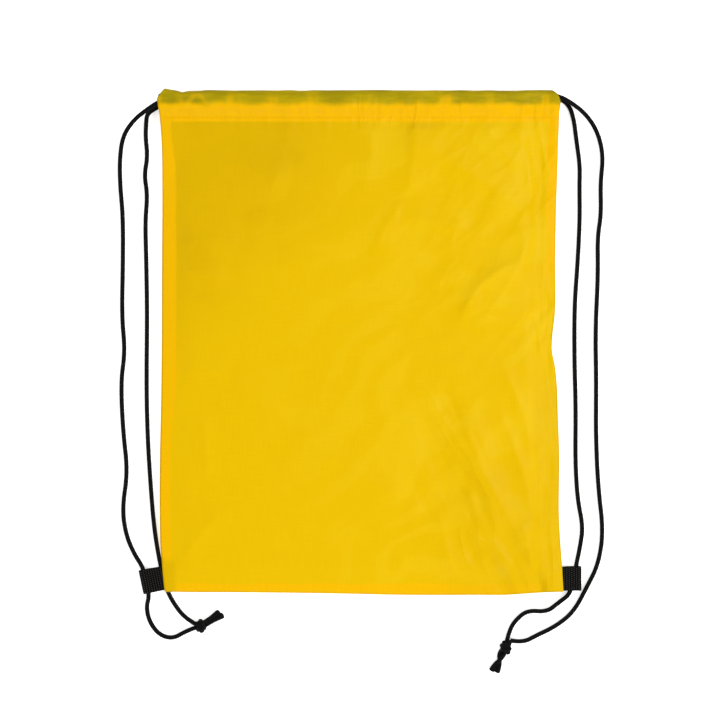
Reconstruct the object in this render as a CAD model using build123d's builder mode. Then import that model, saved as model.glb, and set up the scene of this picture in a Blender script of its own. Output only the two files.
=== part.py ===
"""Drawstring backpack of thin woven cloth, lying flat on its back.

Millimetres. +X is to the bag's right, +Y towards its mouth and +Z up. The origin is under the
middle of the bag, on the surface that it lies on.

The rear panel lies on that surface and rises to a narrow flange along its two sides and its
bottom. The front panel is its mirror image above it. The turned-in seam allowances lie between
the two flanges. Each panel ends at the mouth in a casing, a folded hem with room for two cords.
Each cord goes in at one end of the front casing, turns round at the far end and comes back
through the rear casing, so that its two strands make one shoulder strap. One strand runs
through a webbing tab at the bottom corner, and both strands end in one knot.
"""

import math
import os

from build123d import *

os.makedirs("parts", exist_ok=True)

# Bag outline and cloth
bag_w = 330.0
bag_l = 420.0
cloth_t = 0.8
flange_w = 8.0  # flat margin where the two panels are sewn together
slope_w = 16.0  # band in which a panel goes from its flange to its flat middle
rear_flange_z = 4.4  # underside of the rear flange, clear of a cord that runs under a corner
allowance_t = 1.2  # two folded-in layers
allowance_w = 11.5
front_flange_z = rear_flange_z + cloth_t + allowance_t
front_z = 10.6  # underside of the front panel's middle

# Casings: each is a hem folded over, sewn down along stitch_y
hem_y = 183.0  # inner edge of the hem, where the single layer of the panel begins
stitch_y = 187.0
casing_w = 320.0
tunnel_h = 3.95
casing_h = tunnel_h + 2 * cloth_t
taper_end_y = 190.5
taper_start_y = 197.0

# Thread
stitch_l = 3.0
stitch_pitch = 3.8
stitch_w = 0.45
stitch_h = 0.22
overlock_l = 2.0  # length of an overlock stitch, across the raw edge
overlock_pitch = 5.0

# Cords
cord_d = 3.6
cord_r = cord_d / 2
left_slot_y = 201.0  # the left cord's line in both casings
right_slot_y = 205.6  # the right cord's line in both casings
rear_cord_z = casing_h / 2
front_cord_z = front_z + casing_h / 2
return_x = 166.0  # where a cord turns round outside the casings' far ends
tab_cord_z = 2.975  # middle of the gap in a tab
knot_cord_z = 3.0

# Webbing tabs, each a loop folded at its outer end
web_w = 20.0
web_t = 1.0
tab_root_z = 5.1  # also the height of the seam that a tab turns about
tab_outer_r = tab_cord_z
tab_flat_u = 3.5  # length of the flat pair of layers at the root
tab_trim_u = 4.0  # extra length at the root, cut off along the side seam
tab_floor_u = 9.0  # distance from the root at which the lower layer reaches the surface
# name: (root x, root y, outward angle from +X in degrees, length)
tabs = {
    "left": (-166.0, -196.6, 192.0, 17.1),
    "right": (166.0, -197.5, 0.0, 18.8),
}

half_w = bag_w / 2
half_l = bag_l / 2


def save(builder, name):
    """Label a finished piece and write its STEP file."""
    builder.part.label = name
    export_step(builder.part, f"parts/{name}.step")


# ---------------------------------------------------------------- panels
# Corners of the dished part of a panel: wide at its flange, narrow at its flat middle.
wide = (-half_w + flange_w, -half_l + flange_w, half_w - flange_w, hem_y)
narrow = (
    -half_w + flange_w + slope_w,
    -half_l + flange_w + slope_w,
    half_w - flange_w - slope_w,
    hem_y,
)


def corners_rectangle(x0, y0, x1, y1):
    """A rectangle between two opposite corners, in the sketch that is being built."""
    with Locations(((x0 + x1) / 2, (y0 + y1) / 2)):
        Rectangle(x1 - x0, y1 - y0)


def dish(flange_side_z, middle_z, mode):
    """The sloping block between a panel's flange and its flat middle."""
    with BuildSketch(Plane.XY.offset(flange_side_z)) as flange_end:
        corners_rectangle(*wide)
    with BuildSketch(Plane.XY.offset(middle_z)) as middle_end:
        corners_rectangle(*narrow)
    loft(sections=[flange_end.sketch, middle_end.sketch], ruled=True, mode=mode)


with BuildPart() as rear_panel:
    with BuildSketch(Plane.XY.offset(rear_flange_z)):
        corners_rectangle(-half_w, -half_l, half_w, hem_y)
    extrude(amount=cloth_t)
    dish(rear_flange_z, 0, Mode.ADD)
    dish(rear_flange_z + cloth_t, cloth_t, Mode.SUBTRACT)
save(rear_panel, "rear_panel")

with BuildPart() as front_panel:
    with BuildSketch(Plane.XY.offset(front_flange_z)):
        corners_rectangle(-half_w, -half_l, half_w, hem_y)
    extrude(amount=cloth_t)
    dish(front_flange_z + cloth_t, front_z + cloth_t, Mode.ADD)
    dish(front_flange_z, front_z, Mode.SUBTRACT)
save(front_panel, "front_panel")


# ---------------------------------------------------------------- casings
nose_y = half_l - casing_h / 2  # centre of the round fold at the mouth's edge

for name, base_z in (("rear_casing", 0.0), ("front_casing", front_z)):
    mid_z = base_z + casing_h / 2
    top_z = base_z + casing_h
    with BuildPart() as casing:
        # the section looks along -X, so its own x runs towards +Y
        with BuildSketch(Plane.YZ.offset(-casing_w / 2)):
            with BuildLine():
                Polyline(
                    (nose_y, base_z),
                    (hem_y, base_z),
                    (hem_y, base_z + 2 * cloth_t),
                    (taper_end_y, base_z + 2 * cloth_t),
                    (taper_start_y, top_z),
                    (nose_y, top_z),
                )
                ThreePointArc((nose_y, top_z), (half_l, mid_z), (nose_y, base_z))
            make_face()
            with BuildLine():
                Polyline(
                    (nose_y, base_z + cloth_t),
                    (taper_end_y, base_z + cloth_t),
                    (taper_start_y, top_z - cloth_t),
                    (nose_y, top_z - cloth_t),
                )
                ThreePointArc(
                    (nose_y, top_z - cloth_t),
                    (half_l - cloth_t, mid_z),
                    (nose_y, base_z + cloth_t),
                )
            make_face(mode=Mode.SUBTRACT)
        extrude(amount=casing_w)
    save(casing, name)


# ---------------------------------------------------------------- seam allowances
strips = {
    "left_seam_allowance": (-half_w, -half_l, -half_w + allowance_w, hem_y),
    "right_seam_allowance": (half_w - allowance_w, -half_l, half_w, hem_y),
    "bottom_seam_allowance": (
        -half_w + allowance_w,
        -half_l,
        half_w - allowance_w,
        -half_l + allowance_w,
    ),
}
for name, corners in strips.items():
    with BuildPart() as strip:
        with BuildSketch(Plane.XY.offset(rear_flange_z + cloth_t)):
            corners_rectangle(*corners)
        extrude(amount=allowance_t)
    save(strip, name)


# ---------------------------------------------------------------- stitching
# Rows of lock stitches that hold the hems down: the front row shows on the outside, and the rear
# row is the side of its seam that lies inside the bag.
row_count = int(casing_w // stitch_pitch)
for name, base_z in (("rear_casing_stitching", 0.0), ("front_casing_stitching", front_z)):
    with BuildPart() as row:
        with BuildSketch(Plane.XY.offset(base_z + 2 * cloth_t)):
            with Locations((0, stitch_y)):
                with GridLocations(stitch_pitch, 1, row_count, 1):
                    SlotOverall(stitch_l, stitch_w)
        extrude(amount=stitch_h)
    save(row, name)

# Overlock stitches along the raw edges of the allowances, one bar across the edge at a time.
overlock_x = half_w - allowance_w + overlock_l / 2 + 0.2
overlock_y = -half_l + allowance_w - overlock_l / 2 - 0.2
side_count = int((hem_y + half_l - 2 * allowance_w) // overlock_pitch)
bottom_count = int((bag_w - 4 * allowance_w) // overlock_pitch)
side_mid_y = (hem_y - half_l) / 2
overlock_z = rear_flange_z + cloth_t + allowance_t
overlocks = {
    "left_seam_stitching": ((-overlock_x, side_mid_y), 0, side_count),
    "right_seam_stitching": ((overlock_x, side_mid_y), 0, side_count),
    "bottom_seam_stitching": ((0, overlock_y), 90, bottom_count),
}
for name, (middle, turn, count) in overlocks.items():
    with BuildPart() as row:
        with BuildSketch(Plane.XY.offset(overlock_z)):
            with Locations(Location((*middle, 0), turn)):
                with GridLocations(1, overlock_pitch, 1, count):
                    SlotOverall(overlock_l, stitch_w)
        extrude(amount=stitch_h)
    save(row, name)


# ---------------------------------------------------------------- tabs
slope_rise = tab_root_z - web_t
slope_len = math.hypot(tab_floor_u - tab_flat_u, slope_rise)
# the inner face of the lower layer's slope: web_t from its outer face
slope_grade = slope_rise / (tab_floor_u - tab_flat_u)
inner_shift = web_t * slope_len / slope_rise
gap_floor_u = tab_floor_u + inner_shift - web_t / slope_grade
gap_tip_u = gap_floor_u - (tab_root_z - web_t) / slope_grade

for side, (root_x, root_y, angle, length) in tabs.items():
    turn = math.radians(angle)
    outward = (math.cos(turn), math.sin(turn), 0)
    across = (math.sin(turn), -math.cos(turn), 0)
    fold_u = length - tab_outer_r
    top_z = 2 * tab_outer_r
    with BuildPart() as tab:
        with BuildSketch(Plane(origin=(root_x, root_y, 0), x_dir=outward, z_dir=across)):
            with BuildLine():
                Polyline(
                    (fold_u, top_z),
                    (0, tab_root_z + web_t),
                    (-tab_trim_u, tab_root_z + web_t),
                    (-tab_trim_u, tab_root_z - web_t),
                    (tab_flat_u, tab_root_z - web_t),
                    (tab_floor_u, 0),
                    (fold_u, 0),
                )
                ThreePointArc((fold_u, 0), (length, tab_outer_r), (fold_u, top_z))
            make_face()
            with BuildLine():
                Polyline(
                    (fold_u, top_z - web_t),
                    (gap_tip_u, tab_root_z),
                    (gap_floor_u, web_t),
                    (fold_u, web_t),
                )
                ThreePointArc(
                    (fold_u, web_t), (length - web_t, tab_outer_r), (fold_u, top_z - web_t)
                )
            make_face(mode=Mode.SUBTRACT)
        extrude(amount=web_w / 2, both=True)
        # the root follows the bag's straight side, with a round edge that turns against it
        side_plane = Plane(origin=(root_x, 0, 0), z_dir=(math.copysign(1, root_x), 0, 0))
        split(bisect_by=side_plane, keep=Keep.TOP)
        with BuildSketch(Plane(origin=(root_x, root_y, tab_root_z), z_dir=(0, 1, 0))):
            Circle(web_t)
        extrude(amount=web_w / 2 / abs(math.cos(turn)), both=True)
    save(tab, f"{side}_tab")


# ---------------------------------------------------------------- cords
# Each cord lies at floor height except where a point says otherwise.
lies_z = cord_r

left_route = [
    # out of the knot, round the bottom corner and up through the left tab
    (-135.4, -238.8, knot_cord_z),
    (-145.2, -242.2, 2.4),
    (-156.0, -249.0, lies_z),
    (-168.5, -246.2, lies_z),
    (-176.8, -235.0, lies_z),
    (-179.0, -221.5, tab_cord_z),
    (-175.5, -211.0, tab_cord_z),
    (-180.6, -189.0, tab_cord_z),
    (-188.3, -177.5, tab_cord_z),
    # the outer strand, up to the front casing
    (-195.6, -161.0, lies_z),
    (-198.6, -139.0, lies_z),
    (-194.0, -108.5, lies_z),
    (-198.0, -74.0, lies_z),
    (-199.8, -33.0, lies_z),
    (-196.2, -8.0, lies_z),
    (-199.0, 22.0, lies_z),
    (-198.0, 66.0, lies_z),
    (-198.6, 105.0, lies_z),
    (-201.2, 131.0, lies_z),
    (-201.6, 153.0, lies_z),
    (-198.8, 172.0, 4.2),
    (-189.8, 185.8, 8.0),
    (-177.0, 195.4, 11.5),
    (-163.5, left_slot_y, front_cord_z),
    # through the front casing and back through the rear one
    (return_x, left_slot_y, front_cord_z),
    (return_x, left_slot_y, rear_cord_z),
    # the inner strand, down to the corner, under it and back to the knot
    (-163.5, left_slot_y, rear_cord_z),
    (-171.3, 196.2, 2.2),
    (-178.2, 188.5, lies_z),
    (-179.8, 171.0, lies_z),
    (-177.9, 155.0, lies_z),
    (-180.6, 139.5, lies_z),
    (-177.9, 123.5, lies_z),
    (-179.8, 100.0, lies_z),
    (-178.9, 68.0, lies_z),
    (-178.1, 22.0, lies_z),
    (-178.7, -34.0, lies_z),
    (-177.4, -80.0, lies_z),
    (-174.6, -124.0, lies_z),
    (-171.9, -156.0, lies_z),
    (-167.6, -182.5, lies_z),
    (-161.9, -206.5, lies_z),
    (-153.6, -221.0, lies_z),
    (-144.6, -231.8, 2.4),
    (-135.4, -234.6, knot_cord_z),
]

right_route = [
    # out of the knot, round the bottom corner and up through the right tab
    (122.6, -250.4, knot_cord_z),
    (124.6, -241.0, 2.4),
    (130.4, -231.6, lies_z),
    (140.6, -224.4, lies_z),
    (156.8, -225.8, lies_z),
    (166.8, -217.4, tab_cord_z),
    (176.8, -210.0, tab_cord_z),
    (181.0, -186.5, tab_cord_z),
    (184.3, -171.0, tab_cord_z),
    # the inner strand, up to the rear casing
    (186.9, -154.5, lies_z),
    (182.2, -131.0, lies_z),
    (180.4, -98.0, lies_z),
    (180.9, -56.0, lies_z),
    (179.8, -12.0, lies_z),
    (180.2, 32.0, lies_z),
    (182.8, 66.0, lies_z),
    (184.1, 102.0, lies_z),
    (183.0, 130.0, lies_z),
    (184.5, 148.0, lies_z),
    (181.0, 169.0, lies_z),
    (178.8, 188.0, lies_z),
    (173.4, 201.2, 2.2),
    (163.5, right_slot_y, rear_cord_z),
    # through the rear casing and back through the front one
    (-return_x, right_slot_y, rear_cord_z),
    (-return_x, right_slot_y, front_cord_z),
    # the outer strand, down past the tab and back to the knot
    (163.5, right_slot_y, front_cord_z),
    (177.4, 201.6, 11.5),
    (189.6, 191.6, 8.0),
    (199.2, 177.2, 4.2),
    (203.9, 156.0, lies_z),
    (201.4, 133.0, lies_z),
    (202.1, 107.0, lies_z),
    (199.0, 88.0, lies_z),
    (199.5, 56.0, lies_z),
    (197.2, 10.0, lies_z),
    (198.0, -34.0, lies_z),
    (197.6, -78.0, lies_z),
    (199.6, -122.0, lies_z),
    (203.2, -158.0, lies_z),
    (199.2, -184.5, lies_z),
    (189.0, -207.0, lies_z),
    (178.2, -228.2, lies_z),
    (161.6, -240.8, lies_z),
    (147.4, -245.2, lies_z),
    (136.6, -251.8, 2.2),
    (125.6, -254.6, knot_cord_z),
]


def bend_radii(route):
    """For each inner point, the largest arc that its two runs leave room for."""
    radii = []
    for before, here, after in zip(route, route[1:], route[2:]):
        run_in = Vector(*here) - Vector(*before)
        run_out = Vector(*after) - Vector(*here)
        half_turn = math.radians(run_in.get_angle(run_out)) / 2
        radii.append(0.45 * min(run_in.length, run_out.length) / math.tan(half_turn))
    return radii


for name, route in (("left_cord", left_route), ("right_cord", right_route)):
    radii = bend_radii(route)
    with BuildPart() as cord:
        with BuildLine() as path:
            FilletPolyline(*route, radius=radii)
        with BuildSketch(Plane(origin=path.wire() @ 0, z_dir=path.wire() % 0)):
            Circle(cord_r)
        sweep()
    save(cord, name)
    length = path.wire().length
    tube = math.pi * cord_r**2 * length
    print(name, "length", round(length, 1), "volume ratio", round(cord.part.volume / tube, 4))
    print(name, "radii", [round(r, 1) for r in radii])


# ---------------------------------------------------------------- knots and cord ends
# name: (centre x, centre y, direction that the free ends leave in, in degrees from +X)
knots = {"left": (-132.8, -236.6, 31.0), "right": (122.0, -254.2, 245.0)}
knot_half_l = 5.4
knot_r = 4.1
end_l = 19.0  # from the middle of the knot to the cut end
end_gap = 4.0  # between the two free ends' centre lines
end_start = 2.2

for side, (x, y, heading) in knots.items():
    turn = math.radians(heading)
    ahead = Vector(math.cos(turn), math.sin(turn), 0)
    aside = Vector(-math.sin(turn), math.cos(turn), 0)
    with BuildPart() as knot:
        with BuildSketch(Plane(origin=(x, y, knot_r), x_dir=ahead, z_dir=aside)):
            with BuildLine():
                EllipticalCenterArc((0, 0), knot_half_l, knot_r, arc_size=180)
                Line((-knot_half_l, 0), (knot_half_l, 0))
            make_face()
        revolve(axis=Axis((x, y, knot_r), ahead), revolution_arc=360)
    save(knot, f"{side}_knot")

    with BuildPart() as ends:
        for offset, spread in ((end_gap / 2, 1.2), (-end_gap / 2, -0.8)):
            start = Vector(x, y, knot_cord_z) + ahead * end_start + aside * offset
            middle = start + ahead * 8 + Vector(0, 0, lies_z - knot_cord_z)
            tip = Vector(x, y, lies_z) + ahead * end_l + aside * (offset + spread)
            with BuildLine() as path:
                FilletPolyline(start, middle, tip, radius=20)
            with BuildSketch(Plane(origin=path.wire() @ 0, z_dir=path.wire() % 0)):
                Circle(cord_r)
            sweep(path=path.wire())
    save(ends, f"{side}_cord_ends")
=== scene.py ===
"""Looks of the drawstring backpack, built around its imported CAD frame. Metres, in the frame's axes."""

import math

import bpy
import numpy as np
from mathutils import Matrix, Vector


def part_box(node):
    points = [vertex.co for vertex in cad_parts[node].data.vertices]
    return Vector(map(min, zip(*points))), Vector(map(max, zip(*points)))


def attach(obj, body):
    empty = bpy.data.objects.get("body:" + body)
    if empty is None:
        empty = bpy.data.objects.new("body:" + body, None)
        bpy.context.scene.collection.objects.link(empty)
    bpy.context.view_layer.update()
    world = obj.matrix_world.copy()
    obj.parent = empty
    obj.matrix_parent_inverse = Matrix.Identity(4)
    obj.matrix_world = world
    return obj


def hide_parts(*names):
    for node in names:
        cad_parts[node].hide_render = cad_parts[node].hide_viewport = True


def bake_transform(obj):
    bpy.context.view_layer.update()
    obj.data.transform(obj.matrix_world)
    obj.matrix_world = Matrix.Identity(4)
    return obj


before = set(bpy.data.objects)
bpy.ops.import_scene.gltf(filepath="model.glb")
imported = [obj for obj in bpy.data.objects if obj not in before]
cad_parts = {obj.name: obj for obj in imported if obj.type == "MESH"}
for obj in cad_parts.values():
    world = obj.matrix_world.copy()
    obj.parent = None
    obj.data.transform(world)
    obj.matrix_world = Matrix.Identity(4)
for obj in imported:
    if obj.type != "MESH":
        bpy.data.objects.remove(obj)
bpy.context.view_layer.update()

MM = 0.001

# ---- places read from the frame
front_low, front_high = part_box("front_panel")
rear_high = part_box("rear_panel")[1]
hem_low, hem_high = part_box("front_casing")
stitch_low, stitch_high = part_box("front_casing_stitching")

half_w = front_high.x
bottom_y = front_low.y
hem_y = front_high.y
mouth_y = hem_high.y
stitch_y = (stitch_low.y + stitch_high.y) / 2
seam_z = (rear_high.z + front_low.z) / 2
front_z = front_high.z - 0.4 * MM  # the cloth's middle surface at the hem, within the panel's thickness
front_sag = 2.4 * MM  # how much lower the panel lies once it is clear of the hem
rear_z = 0.35 * MM
front_casing_z = hem_low.z

cloth_t = 0.3 * MM
margin_w = 80 * MM  # the sloping margin of a panel, from its seam to its flat middle
steep_w = 26 * MM  # the steeper start of the margin, smooth because it forms the wall of the open bag

# ---- cord routes
cord_d = 3.6 * MM
cord_r = cord_d / 2
# Heights of a cord's middle in millimetres: on the floor, in a tab, in the rear casing and in the front one.
lies_z = 1.8
tab_z = 2.975
low_z = 2.775
high_z = 13.375
left_y = 200.4  # where the left cord runs in the casings, in millimetres
right_y = 204.8
return_x = 166  # where a cord turns back, past the casings' ends


# Control points in millimetres, from the knot by way of one strand, the casings and the other strand.
# Those that give no height lie on the floor.
left_route = [
    (-136, -238.4, 2.2), (-145, -241.6, 2), (-156, -248.2), (-167.4, -245.2), (-175.7, -234.4),
    (-178.4, -221.5, tab_z), (-175.5, -211, tab_z), (-180.6, -189, tab_z), (-188.3, -177.5, tab_z),
    (-195.6, -161), (-198.6, -139), (-194, -108.5), (-198, -74), (-199.8, -33), (-196.2, -8), (-199, 22),
    (-198, 66), (-198, 105), (-200.4, 131), (-200.8, 152.6), (-198, 171.5, 4.2), (-188.8, 184.4, 8),
    (-176, 193.8, 11.5), (-163.5, left_y + 0.7, high_z), (-150, left_y, high_z), (144.4, left_y, high_z),
    (return_x, left_y, high_z), (return_x, left_y, low_z), (144.4, left_y, low_z), (-150, left_y, low_z),
    (-163.5, left_y - 0.8, low_z), (-170.4, 195.6, 2.2), (-178.2, 190.9), (-178.7, 180.6), (-179.1, 171),
    (-177.4, 155), (-180.2, 139.5), (-177.5, 123.5), (-179.4, 100), (-178.5, 68), (-177.7, 22),
    (-178.4, -34), (-177.4, -80), (-174.6, -124), (-171.9, -156), (-167.6, -182.5), (-161.9, -206.5),
    (-154.2, -220.8), (-145, -231.6, 2.4), (-136, -236, 4.7),
]
right_route = [
    (123, -250.6, 2.2), (125.4, -240.6, 2), (131, -232), (140.6, -224.4), (156.8, -225.8),
    (166.8, -217.4, tab_z), (176.8, -210, tab_z), (181, -186.5, tab_z), (184.3, -171, tab_z),
    (186.9, -154.5), (182.2, -131), (180.4, -98), (180.9, -56), (179.6, -12), (179.8, 32), (182.4, 66),
    (184.2, 102), (183.9, 130), (184.3, 148), (181.3, 169), (179, 188), (174.2, 200, 2.2),
    (163.5, right_y, low_z), (150, right_y, low_z), (-144.4, right_y, low_z), (-return_x, right_y, low_z),
    (-return_x, right_y, high_z), (-144.4, right_y, high_z), (150, right_y, high_z),
    (163.5, right_y, high_z), (175.3, 199.4, 11.5), (188.4, 190.1, 8), (198.7, 176, 4.2), (203.9, 156),
    (201.4, 133), (202.1, 107), (199, 88), (199.5, 56), (197.2, 10), (198, -34), (197.6, -78),
    (199.6, -122), (203.9, -158), (199.9, -185.5), (189.8, -205.6), (179, -225.8), (164, -237.8),
    (148, -245.4), (136.4, -251.4, 2.2), (126.2, -249.2, 4.6),
]


# ---- small helpers
def smooth(t):
    """0 before 0, 1 after 1, and an even ease between them."""
    t = np.clip(t, 0, 1)
    return t * t * (3 - 2 * t)


def value_noise(x, y, size, seed):
    """Smooth noise from -1 to 1, with features about size across."""
    lattice = np.random.default_rng(seed).uniform(-1, 1, (128, 128))
    gx = np.asarray(x) / size + 64.3
    gy = np.asarray(y) / size + 64.7
    ix = np.floor(gx).astype(int)
    iy = np.floor(gy).astype(int)
    fx = smooth(gx - ix)
    fy = smooth(gy - iy)

    def row(iy):
        return lattice[ix % 128, iy % 128] * (1 - fx) + lattice[(ix + 1) % 128, iy % 128] * fx

    return row(iy) * (1 - fy) + row(iy + 1) * fy


def curve_through(pairs):
    """A smooth function through a few (place, value) pairs in millimetres, in metres."""
    places = np.array([p for p, _ in pairs], float) * MM
    values = np.array([v for _, v in pairs], float) * MM
    slopes = np.gradient(values, places)

    def at(t):
        t = np.clip(np.asarray(t, float), places[0], places[-1])
        i = np.clip(np.searchsorted(places, t) - 1, 0, len(places) - 2)
        span = places[i + 1] - places[i]
        s = (t - places[i]) / span
        bend = s * (1 - s) * span
        straight = values[i] * (1 - s) + values[i + 1] * s
        chord = (values[i + 1] - values[i]) / span
        return straight + bend * ((1 - s) * (slopes[i] - chord) - s * (slopes[i + 1] - chord))

    return at


def linked(name, data):
    made = bpy.data.objects.new(name, data)
    bpy.context.scene.collection.objects.link(made)
    return made


def new_object(name, points, faces):
    mesh = bpy.data.meshes.new(name)
    mesh.from_pydata([tuple(p) for p in points], [], [tuple(f) for f in faces])
    mesh.validate()
    mesh.update()
    mesh.polygons.foreach_set("use_smooth", [True] * len(mesh.polygons))
    return linked(name, mesh)


def write_uv(piece, uv):
    """One UV for each vertex, in the units that the materials expect."""
    layer = piece.data.uv_layers.new(name="rest")
    loops = np.zeros(len(piece.data.loops), int)
    piece.data.loops.foreach_get("vertex_index", loops)
    layer.data.foreach_set("uv", np.asarray(uv, float)[loops].ravel())


def grid_faces(rows, columns, first=0, flip=False, close=False):
    """Quads over a grid of vertices, row by row. close joins the last column to the first."""
    faces = []
    last = columns if close else columns - 1
    for i in range(rows - 1):
        for j in range(last):
            a = first + i * columns + j
            b = first + i * columns + (j + 1) % columns
            quad = (a, b, b + columns, a + columns)
            faces.append(quad[::-1] if flip else quad)
    return faces


def grid_normals(grid):
    down = np.gradient(grid, axis=0)
    along = np.gradient(grid, axis=1)
    normal = np.cross(along, down)
    return normal / np.maximum(np.linalg.norm(normal, axis=2, keepdims=True), 1e-12)


def cloth_sheet(name, grid, uv, thickness=cloth_t):
    """A closed thin sheet, thickness / 2 to each side of a grid of points.
    thickness is one number, or one for each point of the grid."""
    rows, columns = grid.shape[:2]
    normal = grid_normals(grid)
    thickness = np.broadcast_to(thickness, (rows, columns))[:, :, None]
    upper = (grid + normal * thickness / 2).reshape(-1, 3)
    lower = (grid - normal * thickness / 2).reshape(-1, 3)
    count = rows * columns
    faces = grid_faces(rows, columns) + grid_faces(rows, columns, count, flip=True)
    near_side = [i * columns for i in range(rows)]
    far_side = [i * columns + columns - 1 for i in range(rows)]
    last_row = list(range(count - columns, count - 1))
    rim = list(range(columns)) + far_side[1:] + last_row[::-1] + near_side[1:-1][::-1]
    for a, b in zip(rim, rim[1:] + rim[:1]):
        faces.append((b, a, a + count, b + count))
    piece = new_object(name, np.vstack([upper, lower]), faces)
    write_uv(piece, np.vstack([uv.reshape(-1, 2)] * 2))
    return piece


# ---- lines and tubes
def nurbs_line(route):
    """The points of the smooth line that a route's control points give, in metres."""
    curve = bpy.data.curves.new("route", "CURVE")
    curve.dimensions = "3D"
    curve.resolution_u = 32
    spline = curve.splines.new("NURBS")
    spline.points.add(len(route) - 1)
    for point, place in zip(spline.points, route):
        point.co = (*(c * MM for c in (*place, lies_z)[:3]), 1)
    spline.order_u = 3
    spline.use_endpoint_u = True
    holder = bpy.data.objects.new("route", curve)
    mesh = bpy.data.meshes.new_from_object(holder)
    line = np.array([v.co for v in mesh.vertices], float)
    bpy.data.meshes.remove(mesh)
    bpy.data.objects.remove(holder)
    bpy.data.curves.remove(curve)
    return line


def spaced(line, step):
    """The same line with evenly spaced points about step apart."""
    lengths = np.linalg.norm(np.diff(line, axis=0), axis=1)
    line = line[np.concatenate([[True], lengths > 1e-7])]
    along = np.concatenate([[0], np.cumsum(np.linalg.norm(np.diff(line, axis=0), axis=1))])
    at = np.linspace(0, along[-1], int(round(along[-1] / step)) + 1)
    return np.stack([np.interp(at, along, line[:, k]) for k in range(3)], axis=1)


def line_length(line):
    return float(np.linalg.norm(np.diff(line, axis=0), axis=1).sum())


def line_frames(line):
    """Two directions across the line at each point, without twist."""
    ahead = np.gradient(line, axis=0)
    ahead /= np.linalg.norm(ahead, axis=1, keepdims=True)
    side = np.zeros_like(line)
    start = np.cross(ahead[0], (0, 0, 1))
    side[0] = start / np.linalg.norm(start)
    for i in range(1, len(line)):
        s = side[i - 1] - ahead[i] * (side[i - 1] @ ahead[i])
        side[i] = s / np.linalg.norm(s)
    return side, np.cross(ahead, side)


carriers = 16  # yarns seen around the cord
braid_step = 0.55 * MM
braid_relief = 0.13 * MM
least_r = 0.2 * MM  # where a tip closes


def braid_rings(line, radius):
    """Rings of points around an evenly spaced line. Every second point stands proud, like a braid's yarns.
    radius is one number, or one for each point of the line."""
    side, up = line_frames(line)
    angle = np.arange(carriers) / carriers * math.tau
    rank = np.arange(len(line))[:, None] + np.arange(carriers)[None, :]
    radius = np.broadcast_to(radius, (len(line),))[:, None]
    r = radius + np.where(rank % 2 == 0, braid_relief, -braid_relief)
    r = np.maximum(r, least_r)
    return (
        line[:, None, :]
        + side[:, None, :] * (r * np.cos(angle))[:, :, None]
        + up[:, None, :] * (r * np.sin(angle))[:, :, None]
    )


def tube(name, line, rings, first=0):
    """A closed tube over rings of points around a line."""
    rows, columns = rings.shape[:2]
    points = list(rings.reshape(-1, 3)) + [line[0], line[-1]]
    faces = grid_faces(rows, columns, flip=True, close=True)
    start, end = rows * columns, rows * columns + 1
    for j in range(columns):
        k = (j + 1) % columns
        faces.append((start, j, k))
        faces.append((end, (rows - 1) * columns + k, (rows - 1) * columns + j))
    piece = new_object(name, points, faces)
    along = np.repeat((first + np.arange(rows)) * 0.5, columns)
    around = np.tile(np.arange(columns) / 2, rows)
    uv = np.vstack([np.stack([around, along], axis=1), [[0, 0], [0, 0]]])
    write_uv(piece, uv)
    return piece


def nearest(line, point):
    """Index of the point of a line that is nearest to a place."""
    return int(np.argmin(np.linalg.norm(line - np.array(point), axis=1)))


# ---- materials
class Field:
    """A number, colour or vector that varies over a surface. Python's operators on it make Math nodes."""

    def __init__(self, tree, socket):
        self.tree = tree
        self.socket = socket

    def __add__(self, other):
        return calc("ADD", self, other)

    def __sub__(self, other):
        return calc("SUBTRACT", self, other)

    def __rsub__(self, other):
        return calc("SUBTRACT", other, self)

    def __mul__(self, other):
        return calc("MULTIPLY", self, other)

    def __abs__(self):
        return calc("ABSOLUTE", self)


def feed(node, inputs):
    """Gives a node its inputs, each a plain value or a field."""
    for key, value in inputs.items():
        if isinstance(value, Field):
            value.tree.links.new(value.socket, node.inputs[key])
        else:
            node.inputs[key].default_value = value
    return node


def put(tree, kind, inputs, output=0, **settings):
    """One output of a new node, as a field."""
    node = tree.nodes.new("ShaderNode" + kind)
    for key, value in settings.items():
        setattr(node, key, value)
    return Field(tree, feed(node, inputs).outputs[output])


def calc(operation, a, b=0.0):
    tree = a.tree if isinstance(a, Field) else b.tree
    return put(tree, "Math", {0: a, 1: b}, operation=operation)


def ramp(value, low, high):
    """0 where value is low and 1 where it is high, with an even ease between."""
    inputs = {"Value": value, "From Min": low, "From Max": high}
    return put(value.tree, "MapRange", inputs, interpolation_type="SMOOTHSTEP")


def mix(share, a, b):
    """Colour a turning into colour b."""
    return put(share.tree, "Mix", {0: share, 6: a, 7: b}, 2, data_type="RGBA")


def noise(vector, scale, detail=2.0, roughness=0.5, output="Fac"):
    inputs = {"Vector": vector, "Scale": scale, "Detail": detail, "Roughness": roughness}
    return put(vector.tree, "TexNoise", inputs, output)


def stretched(vector, scale, turn=0.0, vector_type="POINT"):
    inputs = {"Vector": vector, "Rotation": (0, 0, turn), "Scale": (*scale, 1)}
    return put(vector.tree, "Mapping", inputs, vector_type=vector_type)


def scaled(vector, factor):
    return put(vector.tree, "VectorMath", {0: vector, 3: factor}, operation="SCALE")


def bumped(height, **others):
    return put(height.tree, "Bump", {"Height": height} | others)


def new_material(name):
    """A material, its node tree and its main shader."""
    material = bpy.data.materials.new(name)
    material.use_nodes = True
    tree = material.node_tree
    return material, tree, tree.nodes["Principled BSDF"]


def rest_uv(tree):
    """The UV of the piece at rest, whole and as its two numbers."""
    uv = put(tree, "UVMap", {}, uv_map="rest")
    split = feed(tree.nodes.new("ShaderNodeSeparateXYZ"), {0: uv})
    return uv, Field(tree, split.outputs[0]), Field(tree, split.outputs[1])


def rgba(r, g, b):
    return (r, g, b, 1.0)


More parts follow.
